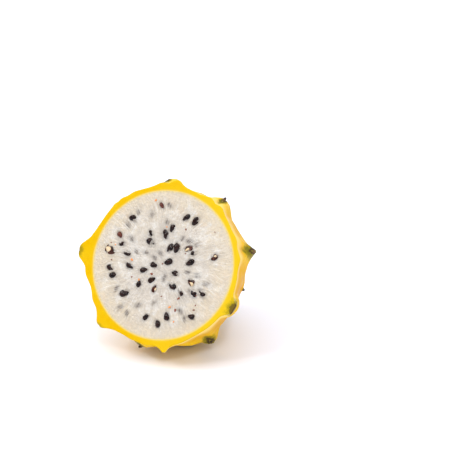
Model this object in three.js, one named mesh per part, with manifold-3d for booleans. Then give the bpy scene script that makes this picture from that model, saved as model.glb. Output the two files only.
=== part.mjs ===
// Half of a yellow dragon fruit, cut crosswise and lying on its side.
//
// The fruit grew as a long egg covered in pointed tubercles. The knife cut it through the middle,
// so this half shows a round face of white pulp full of seeds, ringed by the yellow rind. The other
// end is the stem end. The half lies on the tubercles of its underside, tipped so that the cut
// face looks a little upwards.
//
// Fruit axes: X is to the right as one looks at the cut face, Y is up within the face, and Z comes
// out of the face, so the fruit's depth runs along -Z. A place on the fruit is given by its angle
// round the axis, from X towards Y, and its depth behind the cut. Millimetres throughout.

import * as THREE from 'three';
import { mergeVertices } from 'three/addons/utils/BufferGeometryUtils.js';
import Module from 'manifold-3d';

const wasm = await Module();
wasm.setup();

// ---- driving dimensions -------------------------------------------------------------------
const PULP_RADIUS = 28.5;
const PULP_DEPTH = 44;
const SKIN_RADIUS = 29.9;
const SKIN_DEPTH = 47;
const PEEL_GAP = 0.3;
const TILT_DEGREES = 26.3;
const FACE_HEIGHT = 37.8;

// ---- tubercle shape -----------------------------------------------------------------------
const MOUND_REACH_ROUND = 17;
const MOUND_REACH_TO_CUT = 15;
const MOUND_REACH_TO_STEM = 20;
const MOUND_REACH_OUTWARD = 20.4;
const MOUND_SQUARENESS = 1.5;
const MOUND_POWER = 1.5;
const NIB_FLAT = 0.8;
const NIB_REACH = 6;
const NIB_STRETCH = 1.25;
const NIB_OUTWARD_SHARE = 0.55;
const NIB_POWER = 1.25;
const RIDGE_HEIGHT = 0.7;
const RIDGE_REACH = 24;
const RIDGE_WIDTH = 1.7;
const RIDGE_FLARE = 0.06;
const RIDGE_SPLAY_DEGREES = 18;
const KEEL_HEIGHT = 0.42;
const KEEL_REACH = 20;
const KEEL_WIDTH = 2.7;
const KEEL_FLARE = 0.08;
const RIDGE_START = 4;
const FAR_SIDE = 9;

// ---- bracts, spine stubs and stem scar ----------------------------------------------------
const BRACT = { length: 6, width: 3.6, thickness: 2, shift: 2.2 };
const STUB = { radius: 0.7, tip: 0.5, length: 2.6, sides: 5, spread: 1.1 };
const STUB_LEAN = { least: 0.3, range: 0.5 };
const STUB_SIZE = { least: 0.8, range: 0.4 };
const LONE_STUB_SHARE = 0.4;
const STUB_DRAW = 77;
const AREOLE_CLEAR_OF_CUT = 3.2;
const STEM_SCAR = { radius: 5, tip: 3.6, height: 3.4, proud: 1.5, sides: 14 };

// ---- seeds --------------------------------------------------------------------------------
const SEED = { length: 3.2, width: 2.1, rise: 0.75, around: 6, along: 4 };
const SEED_COUNT = 62;
const SEED_FIELD = 0.82;
const SEED_CROWDING = 0.53;
const SEED_CLEARANCE = 2.15;
const SEED_CLEARANCE_STRETCH = 1.5;
const SEED_SIZE = { least: 0.8, range: 0.35 };
const SEED_SCATTER_DEGREES = 40;
const SEED_DRAW = 3007;

// ---- mesh fineness ------------------------------------------------------------------------
const SKIN_STEP = 2.0;
const PULP_STEP = 4.2;
const FEWEST_AROUND = 6;

// One tubercle: its angle in degrees, its depth, the height of its broad mound, the height of
// the pointed nib on top, and how wide the mound is against the usual one.
const tubercle = (angle, depth, mound, nib, spread) => ({ angle, depth, mound, nib, spread });

const CUT_ROW = [
  tubercle(87.5, 2.5, 1.3, 1.0, 1.2),
  tubercle(134.5, 5.5, 1.1, 1.0, 1.2),
  tubercle(178, 0.6, 2.4, 2.7, 1.15),
  tubercle(230, 2, 3.2, 1.2, 0.85),
  tubercle(282, 1.8, 2.6, 0.9, 0.8),
  tubercle(332, 5.5, 1.5, 2.0, 1.1),
];
const SECOND_ROW = [
  tubercle(17.5, 14.5, 3.4, 2.3, 1.2),
  tubercle(61, 10, 1.9, 2.6, 0.9),
  tubercle(110, 18, 2.6, 1.9, 1.1),
  tubercle(156, 20, 2.8, 1.9, 1.1),
  tubercle(203, 16, 2.8, 1.9, 1.1),
  tubercle(256.5, 12, 2.4, 2.4, 1),
  tubercle(303, 21, 3.2, 2.2, 1),
  tubercle(350, 18.5, 1.0, 0.7, 0.8),
];
const THIRD_ROW = [
  tubercle(38, 32, 2.2, 1.6, 1),
  tubercle(80, 30, 2.6, 1.9, 1),
  tubercle(128, 33, 2.6, 1.9, 1),
  tubercle(176, 34, 2.6, 1.9, 1),
  tubercle(217, 32, 2.4, 1.9, 0.95),
  tubercle(246, 26, 3, 3, 1),
  tubercle(284, 25, 2.2, 1.4, 1),
  tubercle(328, 32, 2.4, 1.8, 1),
];
const STEM_ROW = [
  tubercle(4, 37, 2.4, 1.7, 0.85),
  tubercle(60, 42.5, 1.9, 1.5, 0.75),
  tubercle(140, 43, 1.9, 1.5, 0.75),
  tubercle(225, 43, 1.9, 1.5, 0.75),
  tubercle(262, 38, 2.2, 2.4, 0.9),
  tubercle(292, 36.5, 2.6, 2.6, 0.9),
  tubercle(322, 43, 1.8, 1.4, 0.75),
];
const TUBERCLES = [...CUT_ROW, ...SECOND_ROW, ...THIRD_ROW, ...STEM_ROW];

// ---- small helpers ------------------------------------------------------------------------
const radians = THREE.MathUtils.degToRad;
const LAY_DOWN = radians(90 - TILT_DEGREES);
const clamp01 = (value) => THREE.MathUtils.clamp(value, 0, 1);
const smooth = (value) => THREE.MathUtils.smoothstep(value, 0, 1);

// Repeatable numbers from 0 to 1, drawn one after another.
function makeDraw(start) {
  let state = start;
  return () => {
    state = (state * 16807) % 2147483647;
    return state / 2147483647;
  };
}

// ---- the smooth egg under the tubercles ---------------------------------------------------
// Latitude 0 is the cut and a quarter turn is the stem end.
function onEgg(angle, latitude, radius, depth) {
  const across = radius * Math.cos(latitude);
  return new THREE.Vector3(
    across * Math.cos(angle), across * Math.sin(angle), -depth * Math.sin(latitude));
}

function skinNormal(angle, latitude) {
  const across = Math.cos(latitude) / SKIN_RADIUS;
  return new THREE.Vector3(
    across * Math.cos(angle), across * Math.sin(angle), -Math.sin(latitude) / SKIN_DEPTH,
  ).normalize();
}

// The place of a tubercle: its foot on the egg and three directions there, outwards, round the
// fruit and towards the stem end.
function seat({ angle, depth }) {
  const turn = radians(angle);
  const latitude = Math.asin(depth / SKIN_DEPTH);
  const outward = skinNormal(turn, latitude);
  const round = new THREE.Vector3(-Math.sin(turn), Math.cos(turn), 0);
  const stemward = new THREE.Vector3().crossVectors(round, outward);
  const foot = onEgg(turn, latitude, SKIN_RADIUS, SKIN_DEPTH);
  return { turn, latitude, outward, round, stemward, foot };
}

const PLACED = TUBERCLES.map((one) => ({ ...one, ...seat(one) }));

// ---- the tubercle formula -----------------------------------------------------------------
// x runs round the fruit from the tubercle, y towards the stem end, and z outwards. The mound is
// a broad concave pyramid, (1 - u)^power with u the distance as a share of its reach; the nib
// is a small cone on top; two ridges run towards the cut and one keel towards the stem end.
function moundAt(x, y, z, spread) {
  const reach = y < 0 ? MOUND_REACH_TO_CUT : MOUND_REACH_TO_STEM;
  const far = (Math.abs(x) / (MOUND_REACH_ROUND * spread)) ** MOUND_SQUARENESS
    + (Math.abs(y) / (reach * spread)) ** MOUND_SQUARENESS
    + (Math.abs(z) / (MOUND_REACH_OUTWARD * spread)) ** MOUND_SQUARENESS;
  return clamp01(1 - far ** (1 / MOUND_SQUARENESS)) ** MOUND_POWER;
}

function nibAt(x, y, z) {
  const far = Math.hypot(x, y / NIB_STRETCH, z * NIB_OUTWARD_SHARE);
  return clamp01((NIB_REACH - far) / (NIB_REACH - NIB_FLAT)) ** NIB_POWER;
}

function crestAt(along, across, reach, width) {
  const lengthwise = smooth(along / RIDGE_START) * clamp01(1 - along / reach);
  return lengthwise * Math.exp(-((across / width) ** 2));
}

function ridgesAt(x, y, z, spread) {
  const splay = radians(RIDGE_SPLAY_DEGREES);
  const ridge = [-1, 1].map((side) => {
    const along = side * x * Math.sin(splay) - y * Math.cos(splay);
    const across = -x * Math.cos(splay) - side * y * Math.sin(splay);
    const width = RIDGE_WIDTH + RIDGE_FLARE * Math.max(along, 0);
    return crestAt(along, across, RIDGE_REACH * spread, width);
  });
  const keel = crestAt(y, x, KEEL_REACH * spread, KEEL_WIDTH + KEEL_FLARE * Math.max(y, 0));
  return Math.exp(-((z / FAR_SIDE) ** 4)) * (RIDGE_HEIGHT * Math.max(...ridge) + KEEL_HEIGHT * keel);
}

// How far the skin stands out of the egg at a point of the egg.
function skinRise(point) {
  const offset = new THREE.Vector3();
  return PLACED.reduce((rise, one) => {
    offset.subVectors(point, one.foot);
    const x = offset.dot(one.round);
    const y = offset.dot(one.stemward);
    const z = offset.dot(one.outward);
    const broad = moundAt(x, y, z, one.spread) + ridgesAt(x, y, z, one.spread);
    return rise + one.mound * broad + one.nib * nibAt(x, y, z);
  }, 0);
}

function onSkin(angle, latitude) {
  const foot = onEgg(angle, latitude, SKIN_RADIUS, SKIN_DEPTH);
  return foot.clone().addScaledVector(skinNormal(angle, latitude), skinRise(foot));
}

// ---- ring meshes --------------------------------------------------------------------------
// Rings of places from the cut to the stem end, each with as many places as its length asks for,
// so that the triangles stay about as large everywhere. The last ring is the one place at the end.
function ringsOf(radius, depth, step) {
  const quarter = Math.PI / 2;
  const rows = Math.round((quarter * Math.hypot(radius, depth)) / Math.SQRT2 / step);
  return Array.from({ length: rows + 1 }, (_, row) => {
    const latitude = (quarter * row) / rows;
    const round = 2 * Math.PI * radius * Math.cos(latitude);
    const around = row === rows ? 1 : Math.max(FEWEST_AROUND, Math.round(round / step));
    const stagger = row % 2 ? Math.PI / around : 0;
    return Array.from({ length: around }, (_unused, k) => (
      { angle: stagger + (2 * Math.PI * k) / around, latitude }));
  });
}

// Moves the nearest place of the grid onto each tubercle's tip, so that the tip stays sharp.
function snapToTips(rings) {
  for (const one of PLACED) {
    let nearest = null;
    let least = Infinity;
    for (const place of rings.slice(1, -1).flat()) {
      const distance = onEgg(place.angle, place.latitude, SKIN_RADIUS, SKIN_DEPTH).distanceTo(one.foot);
      if (distance < least) {
        least = distance;
        nearest = place;
      }
    }
    if (one.depth > SKIN_STEP / 2) {
      nearest.angle = one.turn;
      nearest.latitude = one.latitude;
    }
  }
  return rings;
}

// Joins two neighbouring rings with triangles, stepping along whichever ring lags behind.
function zip(first, second, flip, triangles) {
  const add = (a, b, c) => triangles.push(...(flip ? [a, c, b] : [a, b, c]));
  let i = 0;
  let j = 0;
  while (i < first.length || j < second.length) {
    const firstLags = (i + 1) * second.length <= (j + 1) * first.length;
    const stepFirst = i < first.length && (j >= second.length || firstLags);
    const a = first[i % first.length];
    const b = second[j % second.length];
    if (stepFirst) {
      add(a, first[(i + 1) % first.length], b);
      i += 1;
    } else {
      if (second.length > 1) add(a, second[(j + 1) % second.length], b);
      j += 1;
    }
  }
}

// A closed mesh from a chain of rings of points, one after another. The first and the last ring
// are single points, or the chain closes on itself.
function chainMesh(chain, closed, flip) {
  const positions = chain.flat().flatMap((point) => point.toArray());
  let next = 0;
  const numbered = chain.map((ring) => ring.map(() => next++));
  const triangles = [];
  numbered.slice(0, -1).forEach((ring, k) => zip(ring, numbered[k + 1], flip, triangles));
  if (closed) zip(numbered.at(-1), numbered[0], flip, triangles);
  const geometry = new THREE.BufferGeometry();
  geometry.setAttribute('position', new THREE.Float32BufferAttribute(positions, 3));
  geometry.setIndex(triangles);
  return geometry;
}

// ---- joining and cutting ------------------------------------------------------------------
function solid(geometry) {
  const bare = geometry.clone();
  bare.deleteAttribute('normal');
  bare.deleteAttribute('uv');
  const merged = mergeVertices(bare, 1e-5);
  return new wasm.Manifold(new wasm.Mesh({
    numProp: 3,
    vertProperties: new Float32Array(merged.attributes.position.array),
    triVerts: new Uint32Array(merged.index.array),
  }));
}

function meshGeometry(manifold) {
  const { vertProperties, triVerts } = manifold.getMesh();
  const geometry = new THREE.BufferGeometry();
  geometry.setAttribute('position', new THREE.BufferAttribute(vertProperties, 3));
  geometry.setIndex(new THREE.BufferAttribute(triVerts, 1));
  return geometry;
}

// ---- rind ---------------------------------------------------------------------------------
function rindShell() {
  const skin = snapToTips(ringsOf(SKIN_RADIUS, SKIN_DEPTH, SKIN_STEP))
    .map((ring) => ring.map(({ angle, latitude }) => onSkin(angle, latitude)));
  const hollow = ringsOf(PULP_RADIUS, PULP_DEPTH, PULP_STEP)
    .map((ring) => ring.map(({ angle, latitude }) => (
      onEgg(angle, latitude, PULP_RADIUS + PEEL_GAP, PULP_DEPTH + PEEL_GAP))));
  return chainMesh([...hollow.reverse(), ...skin], false, true);
}

// A place on the skin beside a tubercle's tip, so far round the fruit and so far to the stem end.
function besideTip(one, toRound, toStem) {
  const place = one.foot.clone().addScaledVector(one.round, toRound).addScaledVector(one.stemward, toStem);
  const angle = Math.atan2(place.y, place.x);
  const latitude = Math.asin(clamp01(-place.z / SKIN_DEPTH));
  return onSkin(angle, latitude);
}

// The shift of an areole from its tubercle's tip: towards the cut, where there is room.
function areoleShift(one) {
  return Math.max(-BRACT.shift, AREOLE_CLEAR_OF_CUT - one.depth);
}

// A small pointed bract lies against the tubercle, on the side that looks to the cut.
function bractSolid(one) {
  const shift = areoleShift(one);
  const geometry = new THREE.OctahedronGeometry(1, 0);
  geometry.scale(BRACT.width / 2, BRACT.length / 2, BRACT.thickness / 2);
  const near = besideTip(one, 0, shift + BRACT.thickness / 2);
  const far = besideTip(one, 0, shift - BRACT.thickness / 2);
  const along = new THREE.Vector3().subVectors(near, far).normalize();
  const outward = new THREE.Vector3().crossVectors(one.round, along);
  const axes = new THREE.Matrix4().makeBasis(one.round, along, outward);
  geometry.applyMatrix4(axes.setPosition(besideTip(one, 0, shift)));
  return solid(geometry);
}

// A cut-off spine cushion stands out of the areole beside the bract.
function stubSolid({ one, side, size, lean }) {
  const geometry = new THREE.CylinderGeometry(
    size * STUB.tip, size * STUB.radius, size * STUB.length, STUB.sides);
  const axis = one.outward.clone().addScaledVector(one.round, lean * side).normalize();
  geometry.applyQuaternion(new THREE.Quaternion().setFromUnitVectors(new THREE.Vector3(0, 1, 0), axis));
  const root = besideTip(one, STUB.spread * side, areoleShift(one) / 2);
  geometry.translate(root.x, root.y, root.z);
  return solid(geometry);
}

// Every areole has one stub, and most have a second beside it.
function stubPlaces() {
  const draw = makeDraw(STUB_DRAW);
  const places = PLACED.flatMap((one) => [-1, 1].map((side) => {
    const chance = draw();
    const size = STUB_SIZE.least + STUB_SIZE.range * draw();
    const lean = STUB_LEAN.least + STUB_LEAN.range * draw();
    return { one, side, size, lean, chance };
  }));
  return places.filter(({ side, chance }) => side < 0 || chance > LONE_STUB_SHARE);
}

// The corky scar where the fruit was cut from its stem.
function stemScarSolid() {
  const geometry = new THREE.CylinderGeometry(
    STEM_SCAR.tip, STEM_SCAR.radius, STEM_SCAR.height, STEM_SCAR.sides);
  geometry.rotateX(-Math.PI / 2);
  const middle = SKIN_DEPTH + STEM_SCAR.proud - STEM_SCAR.height / 2;
  geometry.translate(0, 0, -middle);
  return solid(geometry);
}

// The surface that the half lies on, as a block under it, in the fruit's own axes. It cuts the
// tips of the lowest tubercles into small flats.
function tableBlock() {
  const reach = 4 * SKIN_DEPTH;
  const geometry = new THREE.BoxGeometry(reach, reach, reach);
  geometry.translate(0, 0, -FACE_HEIGHT - reach / 2);
  geometry.applyMatrix4(new THREE.Matrix4().makeRotationX(-LAY_DOWN));
  return solid(geometry);
}

function rindGeometry() {
  let rind = solid(rindShell());
  for (const one of PLACED) rind = rind.add(bractSolid(one));
  for (const place of stubPlaces()) rind = rind.add(stubSolid(place));
  return meshGeometry(rind.add(stemScarSolid()).subtract(tableBlock()));
}

// ---- pulp and seeds -----------------------------------------------------------------------
function pulpBody() {
  const shell = ringsOf(PULP_RADIUS, PULP_DEPTH, PULP_STEP)
    .map((ring) => ring.map(({ angle, latitude }) => onEgg(angle, latitude, PULP_RADIUS, PULP_DEPTH)));
  return chainMesh([[new THREE.Vector3()], ...shell], false, true);
}

// Whether one seed's place is clear of another, which it needs more room for along its own length.
function isClear(place, other) {
  const dx = other.x - place.x;
  const dy = other.y - place.y;
  const along = dx * Math.cos(place.turn) + dy * Math.sin(place.turn);
  const across = dy * Math.cos(place.turn) - dx * Math.sin(place.turn);
  return Math.hypot(along / SEED_CLEARANCE_STRETCH, across) > SEED_CLEARANCE;
}

// Seeds lie scattered over the cut, each clear of all others, and crowd the middle a little. Each
// points roughly to the axis.
function seedPlaces() {
  const draw = makeDraw(SEED_DRAW);
  const places = [];
  while (places.length < SEED_COUNT) {
    const radius = SEED_FIELD * PULP_RADIUS * draw() ** SEED_CROWDING;
    const angle = 2 * Math.PI * draw();
    const turn = angle + radians(SEED_SCATTER_DEGREES) * (2 * draw() - 1);
    const size = SEED_SIZE.least + SEED_SIZE.range * draw();
    const place = { x: radius * Math.cos(angle), y: radius * Math.sin(angle), turn, size };
    if (places.every((other) => isClear(place, other) && isClear(other, place))) places.push(place);
  }
  return places;
}

function seedSolid({ x, y, turn, size }) {
  const geometry = new THREE.SphereGeometry(1, SEED.around, SEED.along);
  geometry.rotateZ(Math.PI / 2);
  geometry.scale((size * SEED.length) / 2, (size * SEED.width) / 2, SEED.rise);
  geometry.rotateZ(turn);
  geometry.translate(x, y, 0);
  return solid(geometry);
}

function pulpGeometry() {
  let pulp = solid(pulpBody());
  for (const place of seedPlaces()) pulp = pulp.add(seedSolid(place));
  return meshGeometry(pulp);
}

// ---- materials ----------------------------------------------------------------------------
const matt = (color, roughness) => new THREE.MeshStandardMaterial({ color, roughness, metalness: 0 });

function named(name, geometry, material) {
  const mesh = new THREE.Mesh(geometry, material);
  mesh.name = name;
  return mesh;
}

// ---- the half fruit, lying down -----------------------------------------------------------
const halfFruit = new THREE.Group();
halfFruit.add(named('rind', rindGeometry(), matt('#f6b719', 0.45)));
halfFruit.add(named('flesh', pulpGeometry(), matt('#ece8e0', 0.35)));
halfFruit.rotation.x = LAY_DOWN;

const dragonFruit = new THREE.Group();
dragonFruit.add(halfFruit);
const bounds = new THREE.Box3().setFromObject(dragonFruit, true);
const middle = bounds.getCenter(new THREE.Vector3());
dragonFruit.position.set(-middle.x, -middle.y, -bounds.min.z);

export default dragonFruit;
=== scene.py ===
"""Half of a yellow dragon fruit, cut crosswise and lying on its side.

Each visible piece is worked out as a surface in the fruit's own axes, in millimetres, and laid in the
frame at the end. In those axes X is to the right as one looks at the cut face, Y is up within the
face, and Z comes out of the face, so the fruit's depth runs along -Z.
"""

import math
from collections import namedtuple

import bpy
import numpy as np
from mathutils import Matrix, Vector


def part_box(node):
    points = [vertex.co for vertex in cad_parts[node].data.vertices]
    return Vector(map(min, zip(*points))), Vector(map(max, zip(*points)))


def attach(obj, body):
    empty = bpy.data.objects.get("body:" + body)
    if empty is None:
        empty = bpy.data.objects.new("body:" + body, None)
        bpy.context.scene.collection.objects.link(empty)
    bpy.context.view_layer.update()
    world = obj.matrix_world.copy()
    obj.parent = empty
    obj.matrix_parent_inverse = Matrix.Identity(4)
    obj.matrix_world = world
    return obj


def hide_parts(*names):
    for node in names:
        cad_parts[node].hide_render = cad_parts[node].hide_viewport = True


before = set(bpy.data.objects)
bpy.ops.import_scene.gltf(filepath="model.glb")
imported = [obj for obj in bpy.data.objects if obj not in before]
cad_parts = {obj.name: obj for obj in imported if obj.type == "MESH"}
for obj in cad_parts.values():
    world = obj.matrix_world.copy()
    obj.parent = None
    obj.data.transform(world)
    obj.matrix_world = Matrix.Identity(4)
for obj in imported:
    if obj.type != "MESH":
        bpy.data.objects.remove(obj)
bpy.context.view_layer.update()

bl_info = {
    "name": "Yellow dragon fruit half",
    "version": (1, 0, 0),
    "blender": (4, 5, 0),
    "location": "View3D > Sidebar > Dragon fruit",
    "description": "Grows half of a yellow dragon fruit with its seeds, bracts and stem scar",
    "category": "Add Mesh",
}

MM = 0.001
FULL_TURN = 2 * math.pi
BODY = "root"
RIND = "rind"
PULP = "flesh"
SEAM_INSIDE = 0.2

# ---- tubercle shape, in millimetres ----
MOUND_REACH_ROUND = 17.0
MOUND_REACH_TO_CUT = 15.0
MOUND_REACH_TO_STEM = 20.0
MOUND_STRETCH_OUTWARD = 1.2
MOUND_SQUARENESS = 1.5
MOUND_POWER = 1.5
NIB_FLAT = 0.8
NIB_REACH = 6.0
NIB_STRETCH = 1.25
NIB_OUTWARD_SHARE = 0.55
NIB_POWER = 1.25
RIDGE_HEIGHT = 0.7
RIDGE_REACH = 24.0
RIDGE_WIDTH = 1.7
RIDGE_FLARE = 0.06
RIDGE_SPLAY = math.radians(18)
RIDGE_START = 4.0
KEEL_HEIGHT = 0.42
KEEL_REACH = 20.0
KEEL_WIDTH = 2.7
KEEL_FLARE = 0.08
FAR_SIDE = 9.0

# Each tubercle: angle round the axis in degrees, depth behind the cut, height of its broad mound,
# height of the pointed nib on top, how wide it is against the usual one, the radius of the nib's
# flat top, and how sharply the nib rises. A mound of negative height is a shallow hollow.
CUT_ROW = [
    (65.5, 4.1, -0.7, 0.5, 1.15, 2.4, 1.75),
    (86.6, 0.75, 0.55, 1.85, 1.8, 0.5, 2.7),
    (94.1, 6.9, 1.1, 2.3, 1.34, 2.5, 2.1),
    (134.5, 5.5, 1.1, 1.0, 1.2),
    (177.7, 1.8, 3.0, 2.0, 1.28, 2.8),
    (230, 2, 3.1, 1.1, 0.85, 1.7),
    (280.3, 0.2, 1.15, 2.2, 1.15, 0.65, 4),
    (293, 11.8, 0.2, 0.9, 0.9, 3.3, 1),
    (336.4, 4.2, 1.45, 1.55, 1.33, 3.5, 1.7),
]
SECOND_ROW = [
    (17.3, 12.3, 2.6, 2.7, 0.97, 0.45, 2.45),
    (54.5, 8.5, 2.15, 2.2, 1.3, 1.5, 1.2),
    (110, 18, 2.6, 1.9, 1.1),
    (156, 20, 2.8, 1.9, 1.1),
    (203, 16, 2.8, 1.9, 1.1),
    (260.5, 9.3, 1.0, 1.65, 1.05, 0.85, 0.75),
    (304, 19.8, 2.2, 2.6, 1, 2, 1.45),
    (353, 17.8, -0.5, 1.15, 1.05, 1.1, 1.35),
]
THIRD_ROW = [
    (38, 32, 1.9, 1.3, 1),
    (80, 30, 2.6, 1.9, 1),
    (128, 33, 2.6, 1.9, 1),
    (176, 34, 2.6, 1.9, 1),
    (217, 32, 2.4, 1.9, 0.95),
    (246, 26, 3, 3, 1),
    (284, 25, 2.2, 1.4, 1),
    (328, 32, 1.4, 0.9, 1),
]
STEM_ROW = [
    (4, 37, 1.2, 0.9, 0.85),
    (60, 42.5, 1.9, 1.5, 0.75),
    (140, 43, 1.9, 1.5, 0.75),
    (225, 43, 1.9, 1.5, 0.75),
    (262, 38, 2.2, 2.4, 0.9),
    (292, 36.5, 2.6, 2.6, 0.9),
    (322, 43, 1.8, 1.4, 0.75),
]
TUBERCLES = [*CUT_ROW, *SECOND_ROW, *THIRD_ROW, *STEM_ROW]

# ---- areoles, with their bracts and dry arms ----
# Each areole: how far it lies round the fruit and towards the stem end from its tubercle's tip, the
# reach of the green round it, the reach of the dark dry spot in it, and the lengths of its arms.
BARE = (0, 0, 0, 0, ())
CUT_ROW_AREOLES = [
    BARE,
    BARE,
    (1.6, -3.6, 3.4, 1.6, ()),
    (0, 3.0, 2.0, 0.9, (0.9,)),
    (0, -0.6, 4.6, 1.8, ()),
    (0.6, 0.4, 4.0, 0, ()),
    BARE,
    BARE,
    (0.2, -3.3, 5.8, 3.5, ()),
]
SECOND_ROW_AREOLES = [
    (-0.1, -2.2, 5.6, 2.2, (1.2, 1.0)),
    (0, -4.0, 2.5, 1.0, (1.9,)),
    (0, -1.2, 2.6, 1.1, (1.9, 1.5, 1.4)),
    (0, -1.0, 3.2, 1.3, (1.6, 1.8)),
    (0, -1.4, 2.8, 1.2, (1.9, 1.2)),
    # The two low tubercles, at 260.5 and 304 degrees, have wide marks: partly their own green and dry
    # brown, partly painted shade on the shaded underside.
    (-0.7, -2.8, 5.0, 2.6, (1.6, 1.2)),
    (0.3, -3.6, 4.6, 2.4, (1.0, 0.8)),
    (-1.5, -0.2, 0, 1.1, (0.8,)),
]
AREOLE_DRAW = 77
# The same measures for an areole that is drawn, each a start and the range from it.
DRAWN_AREOLE = ((-0.3, 0.6), (-0.8, -1.0), (2.2, 1.0), (0.9, 0.5))
DRAWN_ARM = (1.3, 0.8)
# The shape of a mark against its reach: round the fruit, to the stem, and where its edge lies; then
# how far the green and the dark mark are each drawn out to the cut, and how softly they end.
MARK_ROUND, MARK_TO_STEM, MARK_EDGE = 0.62, 0.7, 1.3
GREEN_MARK, DARK_MARK = (1.25, 1), (1.1, 0.7)
BRACT_CLEAR_OF_CUT = 1.3
BRACT_LENGTH = 3.4
BRACT_WIDTH = 1.7
BRACT_THICKNESS = 0.35
BRACT_ROWS, BRACT_COLUMNS = 16, 9
ARM_RADIUS = 0.58
ARM_ROOT = 0.35
ARM_GIRTH = (0.85, 0.3)
ARM_LEAN, ARM_LEAN_TO_CUT = 2.4, 0.3
ARM_SIDES, ARM_RINGS = 12, 12
SCAR_RADIUS = 4.4
SCAR_ROOT, SCAR_DISH = 2.2, 0.5
SCAR_SIDES, SCAR_RINGS = 72, 40

# ---- seeds; a pair is a least value and the range above it ----
SEED_LENGTH = 3.2
SEED_WIDTH = 2.1
SEED_HALF_HEIGHT = 0.95
SEED_SIDES, SEED_RINGS = 20, 14
SEED_COUNT = 62
SEED_FIELD = 0.82
SEED_CROWDING = 0.53
SEED_CLEARANCE = 2.15
SEED_CLEARANCE_STRETCH = 1.5
SEED_SIZE = (0.84, 0.36)
SEED_SCATTER = math.radians(40)
SEED_DRAW = 3007
BLACK, CUT, RED, SUNK = range(4)
SEED_KIND_SHARES = ((0.04, RED), (0.138, CUT), (0.38, SUNK), (1.0, BLACK))
SEED_KIND_DRAW = 57916
SEED_LUCK_DRAW = 911
SEED_LONGER = (0.98, 0.2)
SEED_WIDER = (0.95, 0.25)
SEED_SINK = (0.05, 0.7)
SEED_DENT, CUT_SEED_DENT = 0.15, 0.3
RED_SIZE, RED_SINK = 0.85, 0.5
SHELL_SIZE, SHELL_DEPTH = (1.05, 1.15, 0.5), -0.22
KERNEL_LENGTH, KERNEL_WIDTH, KERNEL_HEIGHT = (0.4, 0.4), (0.4, 0.3), 0.6
KERNEL_ASIDE, KERNEL_DEPTH = (0.4, 0.5), -0.12
SPECK_COUNT = 22
SPECK_FIELD = 0.9
SPECK_SIZE = (0.22, 0.3)
SPECK_SHAPE = (1.3, 0.8, 0.6)
SPECK_HEIGHT = 0.08
SPECK_ORANGE_SHARE = 0.35
SPECK_DRAW = 31

# ---- waves: height, how many, shortest and longest pitch, where their draw starts ----
SKIN_WAVES = ((0.16, 16, 7, 16, 5), (0.035, 24, 2.2, 5, 8))
PULP_WAVES = ((0.07, 16, 5, 12, 21), (0.035, 30, 1.1, 2.6, 22))
SWELLING_WAVES = (0.33, 30, 1.0, 2.6, 23)
HALO_WAVES = (0.4, 24, 1.2, 2.8, 24)
FIBRE_WAVES = (0.05, 12, 6, 14, 25)
SEED_WAVES = (1, 12, 1.4, 3, 26)

# ---- pulp ----
# A start, a width or a reach is measured in half sizes of the nearest seed, a height and what
# belongs to the rim or the fibres in millimetres, and a grey goes from 0 for white to 1.
SWELLING_HEIGHT, SWELLING_START, SWELLING_WIDTH = 0.03, 0.6, 0.5
DIP_HEIGHT, DIP_REACH = 0.5, 1.3
RIM_FLAT = 1.5
# The halos are painted shade round the seeds that show.
HALO_GREY, HALO_START, HALO_WIDTH = 0.48, 0.85, 0.55
WIDE_HALO_GREY, WIDE_HALO_WIDTH = 0.12, 2.6
SUNK_GREY, SUNK_WIDTH = 0.92, 0.75
WIDE_SUNK_GREY, WIDE_SUNK_WIDTH = 0.16, 1.8
DARKEST_GREY = 0.9
FIBRES_ROUND, FIBRES_SPREAD, FIBRE_LENGTH = 34, 10, 6.5

# ---- bands of colour on the rind: painted shade in the hollows, painted sheen on the crests and at the cut edge ----
# The rise that counts as a full crest of painted sheen, the share that counts far behind the cut, and how
# far behind the cut most of that loss is reached.
CREST_HEIGHT = 5.0
CREST_SHARE_FAR_BACK = 0.62
CREST_FADE = 14
SEAM_WIDTH = 0.35
# The width of the pale lip, a painted highlight along the cut edge, where it is least, and how much it
# gains at its widest.
PALE_LIP = (1.6, 2.8)
# The middle and the width, in degrees, of the two sides where the painted highlight of the pale lip is
# widest.
PALE_LIP_SIDES = ((38, 28), (312, 20))

# ---- mesh fineness, and the rounded lip between cut and skin ----
SKIN_COLUMNS, SKIN_ROWS = 480, 176
CUT_ROWS, CUT_CROWDING = 12, 1.6
HOLLOW_ROWS = 8
PULP_COLUMNS, PULP_ROWS, PULP_BACK_ROWS = 460, 190, 12
PULP_BACK_INSIDE = 0.02
LIP = 0.22
LIP_REACH = 0.4


# ---- settings ----
def length(name, description, millimetres):
    """A length that a user can change."""
    return bpy.props.FloatProperty(
        name=name, description=description, default=millimetres * MM, unit="LENGTH", precision=4)


def slant(name, description, degrees):
    """An angle that a user can change."""
    return bpy.props.FloatProperty(
        name=name, description=description, default=math.radians(degrees), subtype="ANGLE")


def strength(name, description, value):
    """A light's strength."""
    return bpy.props.FloatProperty(name=name, description=description, default=value)


def tint(name, description, colour):
    """A colour, as linear values."""
    return bpy.props.FloatVectorProperty(
        name=name, description=description, default=colour, subtype="COLOR", size=3, min=0, max=1)


class FruitSizes(bpy.types.PropertyGroup):
    """The sizes that the whole half is worked out from."""

    pulp_radius: length("Pulp radius", "Radius of the white pulp at the cut", 28.5)
    pulp_depth: length("Pulp depth", "Depth of the pulp behind the cut", 44)
    skin_radius: length("Skin radius", "Radius of the smooth egg under the tubercles, at the cut", 29.9)
    skin_depth: length("Skin depth", "Depth of the smooth egg behind the cut", 47)
    face_height: length("Face height", "Height of the middle of the cut face over the table", 37.8)
    tilt: slant("Tilt", "How far the fruit's axis dips from level behind the cut face", 26.3)


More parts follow.
